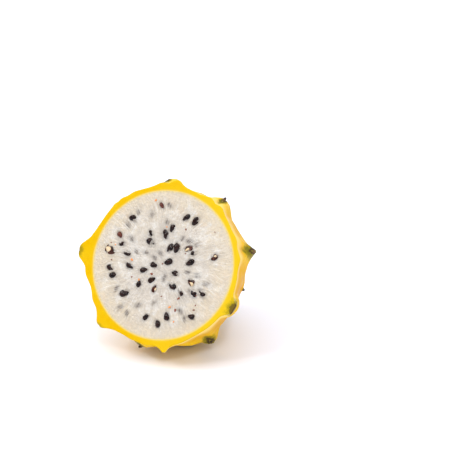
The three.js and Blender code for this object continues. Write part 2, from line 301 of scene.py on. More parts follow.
class FruitColours(bpy.types.PropertyGroup):
    """The colours of the skin, the cut, the pulp and the seeds."""

    cut_yellow: tint("Cut rind", "Fresh yellow of the cut rind", (0.615, 0.365, 0.0))
    # Also laid over the right side of the cut rind as a painted highlight.
    cut_pale_and_sheen: tint("Cut rind, pale", "Paler yellow where the cut rind is thin", (0.66, 0.455, 0.015))
    cut_seam: tint("Seam", "Pale line between rind and pulp", (0.68, 0.53, 0.20))
    skin_yellow: tint("Skin", "Yellow of the tubercles' sides", (0.79, 0.47, 0.004))
    # Painted shade: the hollows between the tubercles get this deeper orange.
    skin_hollow_shade: tint("Skin hollows", "Deep orange between the tubercles", (0.72, 0.345, 0.0))
    # Painted sheen: the crests, the tips and the pale lip at the cut get this peach.
    skin_crest_sheen: tint("Skin crests", "Pale peach on crests and tips", (0.90, 0.70, 0.24))
    bract_green: tint("Green", "Green of the bracts and round the areoles", (0.19, 0.165, 0.010))
    bract_pale: tint("Green, pale", "Yellower green of the bracts", (0.34, 0.29, 0.04))
    bract_brown: tint("Dry spot", "Dried brown of areoles and bracts' edges", (0.085, 0.050, 0.018))
    arm_root: tint("Arm root", "Olive brown at the roots of the areoles' arms", (0.15, 0.10, 0.03))
    arm_russet: tint("Arm, russet", "Reddish brown drift in the arms", (0.20, 0.075, 0.045))
    arm_end: tint("Arm end", "Near black at the ends of the arms", (0.035, 0.018, 0.014))
    pulp_white: tint("Pulp", "Warm white of the pulp's middle", (0.54, 0.485, 0.415))
    pulp_cream: tint("Pulp rim", "Cream of the pulp towards the rind", (0.575, 0.49, 0.365))
    pulp_fibre: tint("Fibres", "White of the pulp's fibres", (0.69, 0.665, 0.62))
    pulp_gap: tint("Between fibres", "Watery grey between the fibres", (0.37, 0.33, 0.285))
    pulp_stain: tint("Stains", "Peach stains in the outer pulp", (0.60, 0.46, 0.32))
    # Also the painted shade of the halos round the seeds.
    pulp_shade: tint("Sunk seeds", "Grey of seeds seen through the pulp", (0.10, 0.082, 0.072))
    seed_black: tint("Seed", "Black of the ripe seeds", (0.0015, 0.001, 0.0015))
    seed_glow: tint("Seed, brown", "Brown drift in the black seeds", (0.046, 0.015, 0.010))
    seed_red: tint("Seed, red", "Dark red-brown of a few seeds", (0.050, 0.012, 0.010))
    seed_red_glow: tint("Seed, russet", "Russet of red seeds and brown specks", (0.20, 0.06, 0.035))
    seed_torn: tint("Torn seed coat", "Red-brown of a cut seed's coat", (0.16, 0.045, 0.026))
    speck_orange: tint("Specks", "Orange of a few specks in the pulp", (0.72, 0.27, 0.09))
    kernel_cream: tint("Kernel", "Cream of the kernels in cut seeds", (0.58, 0.39, 0.20))
    kernel_pale: tint("Kernel, pale", "Paler part of the kernels", (0.70, 0.57, 0.38))
    cork: tint("Cork", "Dry brown cork of the stem scar", (0.26, 0.15, 0.07))
    cork_pale: tint("Cork, pale", "Pale ridges of the stem scar", (0.42, 0.30, 0.17))


class StageSettings(bpy.types.PropertyGroup):
    """The camera, the table and the light."""

    camera_turn: slant("Camera turn", "How far the camera looks round from square on to the axis", 18.3)
    camera_dip: slant("Camera dip", "How far the camera looks down", 19.2)
    camera_away: length("Camera distance", "Distance to the cut face along the line of sight", 304.1)
    camera_lens: bpy.props.FloatProperty(
        name="Lens", description="Focal length on a 36 mm sensor", default=64.0, unit="CAMERA")
    face_aside: length("Face aside", "How far right of the view's middle the cut face lies", -24.13)
    face_below: length("Face below", "How far below the view's middle the cut face lies", 14.91)
    room_light: strength("Room light", "Strength of the white room all round", 0.40)
    top_light: strength("Ceiling", "Strength of the bright ceiling", 1.5)
    left_light: strength("Left window", "Strength of the light from the upper left", 1.35)
    front_light: strength("Front window", "Strength of the light from the front", 0.22)
    right_light: strength("Right window", "Strength of the light from the right", 0.7)
    lamp_light: strength("Small lamps", "Strength of each small lamp that makes wet glints", 0.5)
    table_colour: tint("Table", "Colour of the table", (0.86, 0.88, 0.98))


# ---- numbers and curves ----
def draws(start):
    """Repeatable numbers from 0 to 1: each state is 16807 times the last, modulo 2147483647."""
    state = start
    while True:
        state = (state * 16807) % 2147483647
        yield state / 2147483647


def drawn_rows(start, rows, columns):
    """A table of drawn numbers, row by row."""
    draw = draws(start)
    return np.array([[next(draw) for _ in range(columns)] for _ in range(rows)])


def between(pair, share):
    """The start of a pair plus a share of its range."""
    return pair[0] + pair[1] * share


def smooth(value):
    """0 below 0, 1 above 1, and 3v^2 - 2v^3 between."""
    value = np.clip(value, 0, 1)
    return value * value * (3 - 2 * value)


def bell(distance, width):
    """A bell curve, exp(-(distance / width)^2)."""
    return np.exp(-((distance / width) ** 2))


def bell_round(turn, middle, width):
    """A bell curve of the angle from the middle one, the short way round, both given in degrees."""
    away = turn - math.radians(middle)
    return bell(np.arctan2(np.sin(away), np.cos(away)), math.radians(width))


def ripples(points, height, count, shortest, longest, start):
    """Soft waves about -height to height: a sum of sine waves in drawn directions and pitches."""
    draw = draws(start)
    total = np.zeros(points.shape[:-1])
    for _ in range(count):
        turn, rise = FULL_TURN * next(draw), 2 * next(draw) - 1
        flat = math.sqrt(1 - rise**2)
        heading = np.array([flat * math.cos(turn), flat * math.sin(turn), rise])[: points.shape[-1]]
        pitch = between((shortest, longest - shortest), next(draw))
        total += np.sin(FULL_TURN * (points @ heading / pitch + next(draw)))
    return height * (total / math.sqrt(count / 2) / 2)


def all_round(columns):
    """Even angles once round the axis, as a row."""
    return np.linspace(0, FULL_TURN, columns, endpoint=False)[None]


def polar(away, angle, along):
    """Points from their distance from the Z axis, their angle round it and their Z."""
    return np.stack(np.broadcast_arrays(away * np.cos(angle), away * np.sin(angle), along), axis=-1)


# ---- the egg and its tubercles ----
def egg(angle, latitude, radius, depth):
    """Half an egg: radius cos(latitude) round the axis, depth sin(latitude) behind the cut."""
    return polar(radius * np.cos(latitude), angle, -depth * np.sin(latitude))


def egg_normal(angle, latitude, radius, depth):
    """The egg's outward normal: each part of the point over the square of its half axis, made 1 long."""
    normal = polar(np.cos(latitude) / radius, angle, -np.sin(latitude) / depth)
    return normal / np.linalg.norm(normal, axis=-1, keepdims=True)


def mound(x, y, z, spread):
    """Broad concave pyramid: (1 - u)^power, u the distance as a share of its reach each way."""
    reach = np.where(y < 0, MOUND_REACH_TO_CUT, MOUND_REACH_TO_STEM) * spread
    width = MOUND_REACH_ROUND * spread
    ways = ((x, width), (y, reach), (z, width * MOUND_STRETCH_OUTWARD))
    far = sum((np.abs(way) / its_reach) ** MOUND_SQUARENESS for way, its_reach in ways)
    return np.clip(1 - far ** (1 / MOUND_SQUARENESS), 0, 1) ** MOUND_POWER


def nib(x, y, z, flat, power):
    """Small cone with a flat top, a little longer along the fruit than round it: share^power."""
    far = np.sqrt(x**2 + (y / NIB_STRETCH) ** 2 + (z * NIB_OUTWARD_SHARE) ** 2)
    return np.clip((NIB_REACH - far) / (NIB_REACH - flat), 0, 1) ** power


def crest(along, across, reach, width):
    """A ridge that rises over its first stretch, fades out evenly and has a bell-shaped section."""
    return smooth(along / RIDGE_START) * np.clip(1 - along / reach, 0, 1) * bell(across, width)


def near_side(z):
    """1 on a tubercle's own side of the fruit, 0 on the far side: exp(-(z / far side)^4)."""
    return np.exp(-((z / FAR_SIDE) ** 4))


def ridges(x, y, z, spread):
    """Two crests splayed towards the cut and one keel towards the stem end."""
    best = 0
    for side in (-1, 1):
        along = side * x * math.sin(RIDGE_SPLAY) - y * math.cos(RIDGE_SPLAY)
        across = x * math.cos(RIDGE_SPLAY) + side * y * math.sin(RIDGE_SPLAY)
        width = RIDGE_WIDTH + RIDGE_FLARE * np.maximum(along, 0)
        best = np.maximum(best, crest(along, across, RIDGE_REACH * spread, width))
    keel = crest(y, x, KEEL_REACH * spread, KEEL_WIDTH + KEEL_FLARE * np.maximum(y, 0))
    return near_side(z) * (RIDGE_HEIGHT * best + KEEL_HEIGHT * keel)


class Tubercle:
    """One tubercle's foot on the egg and its directions: round the fruit, to the stem end, outwards."""

    def __init__(self, skin, angle, depth, height, nib_height, spread, flat=NIB_FLAT, power=NIB_POWER):
        self.depth, self.height, self.spread = depth, height, spread
        self.nib_height, self.flat, self.power = nib_height, flat, power
        angle, latitude = math.radians(angle), math.asin(depth / skin[1])
        self.foot = egg(angle, latitude, *skin)
        self.outward = egg_normal(angle, latitude, *skin)
        self.round = np.array([-math.sin(angle), math.cos(angle), 0.0])
        self.stemward = np.cross(self.round, self.outward)

    def local(self, points):
        """x round the fruit, y towards the stem end and z outwards, from the tubercle's foot."""
        offset = points - self.foot
        return offset @ self.round, offset @ self.stemward, offset @ self.outward

    def rise(self, points):
        """How far it lifts the skin: its mound and ridges, and its nib."""
        x, y, z = self.local(points)
        broad = self.height * (mound(x, y, z, self.spread) + ridges(x, y, z, self.spread))
        return broad, self.nib_height * nib(x, y, z, self.flat, self.power)


class Fruit:
    """The half's sizes in millimetres, its skin, and its place in the frame."""

    def __init__(self, sizes):
        self.pulp = sizes.pulp_radius / MM, sizes.pulp_depth / MM
        self.skin = sizes.skin_radius / MM, sizes.skin_depth / MM
        self.tubercles = [Tubercle(self.skin, *row) for row in TUBERCLES]
        low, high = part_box(PULP)
        sin, cos = math.sin(sizes.tilt), math.cos(sizes.tilt)
        self.tip = np.array([[1, 0, 0], [0, sin, cos], [0, -cos, sin]])
        self.middle = np.array([
            high.x - sizes.pulp_radius, low.y + sizes.pulp_radius * sin, sizes.face_height])

    def skin_point(self, angle, latitude):
        """A point of the skin, which is the egg's point moved outwards by the rise there, and the rise."""
        foot = egg(angle, latitude, *self.skin)
        rise = np.zeros(foot.shape[:-1])
        for one in self.tubercles:
            for share in one.rise(foot):
                rise += share
        return foot + rise[..., None] * egg_normal(angle, latitude, *self.skin), rise

    def stem_end(self):
        """The point of the skin on the axis."""
        return self.skin_point(0.0, math.pi / 2)[0]

    def lay_down(self, points):
        """Fruit millimetres to frame metres: tipped by the tilt, moved to the middle of the cut face,
        and nowhere under the table's top."""
        placed = points * MM @ self.tip + self.middle
        placed[..., 2] = np.maximum(placed[..., 2], 0)
        return placed


def fruit_and_colours(context):
    """The fruit, worked out from the size settings, and the colour settings."""
    return Fruit(context.scene.fruit_sizes), context.scene.fruit_colours


# ---- meshes ----
def stand(name, data):
    """A new object in the scene."""
    made = bpy.data.objects.new(name, data)
    bpy.context.scene.collection.objects.link(made)
    return made


def ring_faces(rows, columns):
    """Faces of a body of rings: quads between them and a fan at each pole, first and last point."""
    number = 1 + np.arange(rows * columns).reshape(rows, columns)
    beside = np.roll(number, -1, axis=1)
    quads = np.stack([number[:-1], beside[:-1], beside[1:], number[1:]], axis=-1).reshape(-1, 4)
    first = np.stack([np.zeros(columns, int), beside[0], number[0]], axis=-1)
    last = np.stack([np.full(columns, 1 + rows * columns), number[-1], beside[-1]], axis=-1)
    return quads, np.concatenate([first, last])


def ring_points(rings, first_pole, last_pole):
    """The points of a body of rings in the order that its faces number them."""
    return np.concatenate([[first_pole], rings.reshape(-1, 3), [last_pole]])


def ring_body(name, rings, first_pole, last_pole, fruit):
    """A closed piece from rings of equally many points and a pole at each end.

    The surface at the first pole faces the cut side, so all faces are turned over to look outwards.
    """
    points = fruit.lay_down(ring_points(rings, first_pole, last_pole))
    outwards = (each[:, ::-1] for each in ring_faces(*rings.shape[:2]))
    return mesh_piece(name, points, *outwards)


def copies(name, placed, faces, fruit):
    """Copies of one small closed shape, each already placed, joined in one object."""
    shift = (np.arange(len(placed)) * placed.shape[1])[:, None, None]
    quads, triangles = ((each[None] + shift).reshape(-1, each.shape[1]) for each in faces)
    return mesh_piece(name, fruit.lay_down(placed.reshape(-1, 3)), quads, triangles)


def mesh_piece(name, points, quads, triangles):
    """A new smooth-shaded object from points, four-sided faces and three-sided faces."""
    mesh = bpy.data.meshes.new(name)
    corners = np.concatenate([quads.ravel(), triangles.ravel()]).astype(np.int32)
    sides = np.repeat([4, 3], [len(quads), len(triangles)]).astype(np.int32)
    mesh.vertices.add(len(points))
    mesh.vertices.foreach_set("co", points.astype(np.float32).ravel())
    mesh.loops.add(len(corners))
    mesh.loops.foreach_set("vertex_index", corners)
    mesh.polygons.add(len(sides))
    mesh.polygons.foreach_set("loop_start", (np.cumsum(sides) - sides).astype(np.int32))
    mesh.polygons.foreach_set("loop_total", sides)
    mesh.update(calc_edges=True)
    mesh.validate()
    mesh.polygons.foreach_set("use_smooth", np.ones(len(sides), bool))
    return stand(name, mesh)


def mark_sharp(piece, columns, ring):
    """Marks a whole ring of edges as sharp, so that the faces on both sides shade on their own."""
    mesh = piece.data
    ends = np.zeros(len(mesh.edges) * 2, np.int32)
    mesh.edges.foreach_get("vertices", ends)
    rings = (ends.reshape(-1, 2) - 1) // columns
    sharp = (rings == ring).all(axis=1)
    mesh.attributes.new("sharp_edge", "BOOLEAN", "EDGE").data.foreach_set("value", sharp)


def paint(piece, name, values):
    """A value for each vertex, which the materials read by its name."""
    attribute = piece.data.attributes.new(name, "FLOAT", "POINT")
    attribute.data.foreach_set("value", np.asarray(values, np.float32).ravel())


def paint_rings(piece, name, values):
    """A value for each point of a body's rings, and 0 for its poles."""
    paint(piece, name, np.concatenate([[0.0], values.ravel(), [0.0]]))


def finish_piece(piece, node, *materials):
    """Gives a piece its materials and its body, and hides the part of the node that it stands for."""
    for material in materials:
        piece.data.materials.append(material)
    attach(piece, BODY)
    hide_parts(node)


# ---- shader node groups ----
class Nodes:
    """Short ways to add nodes to a tree, for a material or for a node group."""

    def __init__(self, tree):
        self.tree = tree

    def node(self, kind, **settings):
        made = self.tree.nodes.new("ShaderNode" + kind)
        for key, value in settings.items():
            setattr(made, key, value)
        return made

    def put(self, socket, value):
        """Links a socket, or sets a number or a colour."""
        if isinstance(value, bpy.types.NodeSocket):
            self.tree.links.new(value, socket)
        elif hasattr(value, "__len__") and len(value) == 3 and len(socket.default_value) == 4:
            socket.default_value = (*value, 1.0)
        else:
            socket.default_value = value

    def fill(self, made, **values):
        """Sets a node's inputs, named with underscores for spaces."""
        for key, value in values.items():
            self.put(made.inputs[key.replace("_", " ")], value)
        return made

    def attribute(self, name, kind="Fac"):
        return self.node("Attribute", attribute_name=name).outputs[kind]

    def noise(self, at, scale, detail, rough, distortion=0.0):
        made = self.node("TexNoise")
        self.fill(made, Vector=at, Scale=scale, Detail=detail, Roughness=rough, Distortion=distortion)
        return made.outputs["Fac"]

    def cells(self, at, scale, feature="F1"):
        made = self.node("TexVoronoi", feature=feature)
        return self.fill(made, Vector=at, Scale=scale).outputs["Distance"]

    def ramp(self, value, low, high, start=0.0, end=1.0):
        """Maps low..high to start..end, held at both ends and eased between."""
        made = self.node("MapRange", interpolation_type="SMOOTHSTEP")
        self.fill(made, Value=value, From_Min=low, From_Max=high, To_Min=start, To_Max=end)
        return made.outputs["Result"]

    def maths(self, operation, first, second):
        made = self.node("Math", operation=operation)
        self.put(made.inputs[0], first)
        self.put(made.inputs[1], second)
        return made.outputs[0]

    def plus(self, first, second):
        return self.maths("ADD", first, second)

    def times(self, first, second):
        return self.maths("MULTIPLY", first, second)

    def drift(self, value, noise, low, high, reach):
        """A value shifted up and down by a noise, by up to its reach."""
        return self.plus(value, self.ramp(noise, low, high, -reach, reach))

    def mix(self, share, first, second):
        made = self.node("Mix", data_type="RGBA")
        sockets = {socket.identifier: socket for socket in (*made.inputs, *made.outputs)}
        for name, value in (("Factor_Float", share), ("A_Color", first), ("B_Color", second)):
            self.put(sockets[name], value)
        return sockets["Result_Color"]

    def layers(self, colour, *layers):
        """Lays colours over a colour one after another, each with its share."""
        for share, over in layers:
            colour = self.mix(share, colour, over)
        return colour

    def bump(self, height, distance, strength, under=None):
        made = self.fill(self.node("Bump"), Height=height, Distance=distance, Strength=strength)
        if under is not None:
            self.put(made.inputs["Normal"], under)
        return made.outputs["Normal"]


SOCKETS = {"number": "NodeSocketFloat", "colour": "NodeSocketColor", "vector": "NodeSocketVector"}


def node_group(name, outputs, **inputs):
    """A new node group: its helper, its given values and its end. Inputs hold underscores for spaces."""
    tree = bpy.data.node_groups.new(name, "ShaderNodeTree")
    for label, kind in {"Vector": "vector", **inputs}.items():
        tree.interface.new_socket(label.replace("_", " "), in_out="INPUT", socket_type=SOCKETS[kind])
    for label, kind in outputs.items():
        tree.interface.new_socket(label, in_out="OUTPUT", socket_type=SOCKETS[kind])
    return Nodes(tree), tree.nodes.new("NodeGroupInput").outputs, tree.nodes.new("NodeGroupOutput")


def mottle_group():
    """Cloudy drift between two colours, with its value."""
    nodes, given, out = node_group(
        "mottle", {"Colour": "colour", "Value": "number"},
        Scale="number", First="colour", Second="colour", Share="number")
    value = nodes.ramp(nodes.noise(given["Vector"], given["Scale"], 4, 0.62), 0.32, 0.68)
    share = nodes.times(value, given["Share"])
    nodes.fill(out, Colour=nodes.mix(share, given["First"], given["Second"]), Value=value)
    return nodes.tree


def relief_group():
    """Fine uneven height for a Bump node: soft lumps with small pores in them."""
    nodes, given, out = node_group(
        "fine relief", {"Height": "number"}, Lump_Scale="number", Pore_Scale="number", Pore_Share="number")
    lumps = nodes.noise(given["Vector"], given["Lump Scale"], 4, 0.6)
    pores = nodes.times(nodes.cells(given["Vector"], given["Pore Scale"]), given["Pore Share"])
    nodes.fill(out, Height=nodes.plus(lumps, pores))
    return nodes.tree


def areole_group():
    """Blotchy green round an areole and its ragged dry spot, over a given colour."""
    nodes, given, out = node_group(
        "areole", {"Colour": "colour"}, Colour="colour", Green="colour", Dark="colour", Fade="number")
    blotch = nodes.noise(given["Vector"], 800, 4, 0.6)
    marked, dry = nodes.attribute("green"), nodes.attribute("dark")
    green = nodes.times(nodes.ramp(nodes.drift(marked, blotch, 0.3, 0.7, 0.2), 0.05, 1.0), given["Fade"])
    green = nodes.times(green, nodes.ramp(marked, 0.0, 0.2))
    dark = nodes.times(nodes.ramp(nodes.drift(dry, blotch, 0.3, 0.7, 0.3), 0.3, 0.85), given["Fade"])
    nodes.fill(out, Colour=nodes.layers(given["Colour"], (green, given["Green"]), (dark, given["Dark"])))
    return nodes.tree


GROUP_MAKERS = {"mottle": mottle_group, "fine relief": relief_group, "areole": areole_group}


class Paint(Nodes):
    """A material's node tree with its shader."""

    def __init__(self, name):
        self.material = bpy.data.materials.new(name)
        self.material.use_nodes = True
        super().__init__(self.material.node_tree)
        self.shader = self.tree.nodes["Principled BSDF"]
        self.place = self.node("TexCoord").outputs["Object"]

    def group(self, name, **values):
        """Places a shared node group, made on first use, with its inputs set."""
        made = self.node("Group", node_tree=bpy.data.node_groups.get(name) or GROUP_MAKERS[name]())
        return self.fill(made, Vector=self.place, **values).outputs

    def mottle(self, scale, first, second, share=1.0):
        return self.group("mottle", Scale=scale, First=first, Second=second, Share=share)

    def relief(self, lump_scale, pore_scale, pore_share, distance, strength, under=None):
        scales = {"Lump_Scale": lump_scale, "Pore_Scale": pore_scale, "Pore_Share": pore_share}
        return self.bump(self.group("fine relief", **scales)["Height"], distance, strength, under)

    def areoles(self, colour, colours, fade=1.0):
        dark, green = colours.bract_brown, colours.bract_green
        return self.group("areole", Colour=colour, Green=green, Dark=dark, Fade=fade)["Colour"]

    def soak(self, weight, radius):
        """Light that soaks in and comes out again beside where it went in, red the furthest."""
        self.fill(self.shader, Subsurface_Weight=weight, Subsurface_Radius=radius, Subsurface_Scale=0.002)

    def shade(self, colour, roughness, normal, **values):
        """Sets the shader's inputs and gives the material."""
        self.fill(self.shader, Base_Color=colour, Roughness=roughness, Normal=normal, **values)
        return self.material


# ---- materials ----
def skin_material(colours):
    """Waxy skin: deep orange in the hollows as painted shade, yellow on the mounds, and paler crests and
    cut edge as painted sheen.
    """
    skin = Paint("waxy skin")
    cloud = skin.noise(skin.place, 90, 3, 0.55)
    level = skin.drift(skin.attribute("rise"), cloud, 0.3, 0.7, 0.10)
    # Painted shade: darker orange where the skin lies low between the tubercles.
    colour = skin.mix(skin.ramp(level, 0.02, 0.40), colours.skin_hollow_shade, colours.skin_yellow)
    # Painted sheen: the crests turn pale peach.
    colour = skin.mix(skin.ramp(level, 0.45, 1.20, 0.0, 0.65), colour, colours.skin_crest_sheen)
    colour = skin.mottle(1300, colour, colours.skin_crest_sheen, 0.04)["Colour"]
    # Painted highlight: a pale band on the skin along the cut edge.
    lip = skin.ramp(skin.attribute("lip"), 0.05, 1.0, 0.0, 0.75)
    colour = skin.areoles(skin.mix(lip, colour, colours.skin_crest_sheen), colours)
    skin.soak(0.08, (1.0, 0.45, 0.05))
    return skin.shade(
        colour, skin.ramp(cloud, 0.3, 0.7, 0.36, 0.46), skin.relief(240, 1500, 0.25, 0.0007, 0.30),
        Specular_IOR_Level=0.04)


def cut_rind_material(colours):
    """Moist cut rind: strong yellow, with a painted highlight that pales it towards the right, and paler at
    the seam beside the pulp.
    """
    cut = Paint("cut rind")
    tone = cut.mottle(110, colours.cut_yellow, colours.cut_pale_and_sheen, 0.35)
    # Painted highlight: the cut rind turns paler towards the right.
    side = cut.ramp(cut.attribute("side"), -0.6, 0.9, 0.0, 0.6)
    colour = cut.layers(tone["Colour"], (side, colours.cut_pale_and_sheen), (cut.attribute("seam"), colours.cut_seam))
    cut.soak(0.2, (1.0, 0.6, 0.1))
    return cut.shade(
        cut.areoles(colour, colours, 0.75), cut.ramp(tone["Value"], 0.0, 1.0, 0.38, 0.5),
        cut.relief(900, 2600, 0.2, 0.0002, 0.25), Specular_IOR_Level=0.03)


def pulp_material(colours):
    """Wet translucent pulp: white clouds in the middle, cream to the rim, fibres that run outwards, and
    white crumbs that are partly painted glints.
    """
    pulp = Paint("wet pulp")
    out = pulp.attribute("out")
    cloud = pulp.noise(pulp.place, 150, 4, 0.6)
    haze = pulp.noise(pulp.place, 260, 5, 0.62)
    strands = pulp.noise(pulp.attribute("rays", "Vector"), 1.0, 4, 0.65, 0.15)
    inner = pulp.ramp(out, 0.80, 0.97, 1.0, 0.25)
    level = pulp.drift(out, cloud, 0.3, 0.7, 0.16)
    colour = pulp.mix(pulp.ramp(level, 0.45, 1.0), colours.pulp_white, colours.pulp_cream)
    stain = pulp.ramp(pulp.noise(pulp.place, 210, 3, 0.6), 0.5, 0.72, 0.0, 0.35)
    # Wet crumbs with painted glints: small white flecks in patches, also raised by the bump.
    crumbs_and_glints = pulp.ramp(pulp.noise(pulp.place, 1500, 3, 0.6), 0.56, 0.66)
    crumbs_and_glints = pulp.times(pulp.times(crumbs_and_glints, pulp.ramp(haze, 0.54, 0.62)), inner)
    murk = pulp.ramp(haze, 0.34, 0.50, 0.35, 0.0)
    shadow = pulp.times(pulp.attribute("shade"), pulp.ramp(strands, 0.38, 0.62, 1.25, 0.65))
    colour = pulp.layers(
        colour,
        (pulp.times(stain, pulp.ramp(out, 0.4, 0.8)), colours.pulp_stain),
        (pulp.times(pulp.ramp(strands, 0.30, 0.50, 0.42, 0.0), inner), colours.pulp_gap),
        (pulp.times(pulp.ramp(strands, 0.50, 0.68, 0.0, 0.60), inner), colours.pulp_fibre),
        (pulp.times(pulp.ramp(haze, 0.48, 0.66, 0.0, 0.65), inner), colours.pulp_fibre),
        (pulp.times(murk, pulp.ramp(out, 0.55, 0.85, 1.0, 0.0)), colours.pulp_gap),
        (crumbs_and_glints, colours.pulp_fibre),
        (pulp.ramp(out, 0.965, 1.0, 0.0, 0.7), colours.cut_seam),
        (shadow, colours.pulp_shade))
    colour = pulp.mottle(900, colour, colours.pulp_gap, 0.36)["Colour"]
    fibres = pulp.bump(pulp.plus(strands, pulp.times(crumbs_and_glints, 0.8)), 0.0006, 0.4)
    pulp.soak(0.3, (1.0, 0.85, 0.65))
    return pulp.shade(
        colour, pulp.ramp(cloud, 0.35, 0.65, 0.20, 0.38),
        pulp.relief(1500, 2200, 0.3, 0.0004, 0.45, fibres), Specular_IOR_Level=0.45)


def seed_material(name, colour, glow):
    """Glossy seed coat with a faint brown drift and fine pits."""
    seed = Paint(name)
    tone = seed.mottle(900, colour, glow, 0.5)
    return seed.shade(
        tone["Colour"], seed.ramp(tone["Value"], 0.0, 1.0, 0.07, 0.15),
        seed.relief(700, 3800, 0.2, 0.0003, 0.4), Specular_IOR_Level=0.18)


def kernel_material(colours):
    """Dull cream kernel."""
    kernel = Paint("seed kernel")
    tone = kernel.mottle(1500, colours.kernel_cream, colours.kernel_pale)
    return kernel.shade(tone["Colour"], 0.5, kernel.relief(1100, 3000, 0.2, 0.0002, 0.4))


def bract_material(colours):
    """Leathery scale: green in the middle, dried brown towards its edge and tip."""
    bract = Paint("bract")
    tone = bract.mottle(600, colours.bract_green, colours.bract_pale, 0.7)
    dry = bract.drift(bract.attribute("edge"), tone["Value"], 0.0, 1.0, 0.25)
    return bract.shade(
        bract.mix(bract.ramp(dry, 0.35, 0.9, 0.0, 0.85), tone["Colour"], colours.bract_brown), 0.55,
        bract.relief(900, 2500, 0.3, 0.0003, 0.5), Specular_IOR_Level=0.3)


def arm_material(colours):
    """An areole's arms: olive to russet at the root, near black at the end."""
    arm = Paint("areole arm")
    tone = arm.mottle(700, colours.arm_root, colours.arm_russet)
    end = arm.drift(arm.attribute("along"), tone["Value"], 0.0, 1.0, 0.3)
    return arm.shade(
        arm.mix(arm.ramp(end, 0.2, 0.8), tone["Colour"], colours.arm_end), 0.6,
        arm.relief(900, 2500, 0.3, 0.0004, 0.6), Specular_IOR_Level=0.3)


def cork_material(colours):
    """Dry cork: mottled, cracked and dull."""
    cork = Paint("stem cork")
    tone = cork.mottle(800, colours.cork, colours.cork_pale)
    cracks = cork.ramp(cork.cells(cork.place, 900, "DISTANCE_TO_EDGE"), 0.0, 0.12, 0.8, 0.0)
    return cork.shade(
        cork.mix(cracks, tone["Colour"], [0.3 * part for part in colours.cork]), 0.8,
        cork.relief(900, 2000, 0.4, 0.0005, 0.7), Specular_IOR_Level=0.2)


# ---- areoles ----
Areole = namedtuple("Areole", "round stemward green dark arms")


def areoles():
    """One areole a tubercle: those of the first two rows as listed, the others drawn."""
    draw = draws(AREOLE_DRAW)
    drawn = []
    for _ in THIRD_ROW + STEM_ROW:
        arms = tuple(between(DRAWN_ARM, next(draw)) for _ in range(1 + int(3 * next(draw))))
        drawn.append((*(between(pair, next(draw)) for pair in DRAWN_AREOLE), arms))
    return [Areole(*row) for row in CUT_ROW_AREOLES + SECOND_ROW_AREOLES + drawn]


def tip_marks(points, tubercles, inwards=0):
    """Green round each areole, drawn out towards the cut, and its dry dark spot, each from 0 to 1.

    On the cut itself, inwards is how far a point lies from the edge: the marks fold over the edge
    and fade there twice as soon.
    """
    green, dark = np.zeros((2, *points.shape[:-1]))
    for one, areole in zip(tubercles, areoles()):
        x, y, z = one.local(points)
        x, y = x - areole.round, y - areole.stemward - 2 * inwards
        marks = (green, areole.green, *GREEN_MARK), (dark, areole.dark, *DARK_MARK)
        for mark, reach, to_cut, fade in marks:
            if reach:
                along = y / np.where(y < 0, reach * to_cut, reach * MARK_TO_STEM)
                far = np.hypot(x / (reach * MARK_ROUND), along)
                mark[:] = np.maximum(mark, near_side(z) * smooth((MARK_EDGE - far) / fade))
    return green, dark


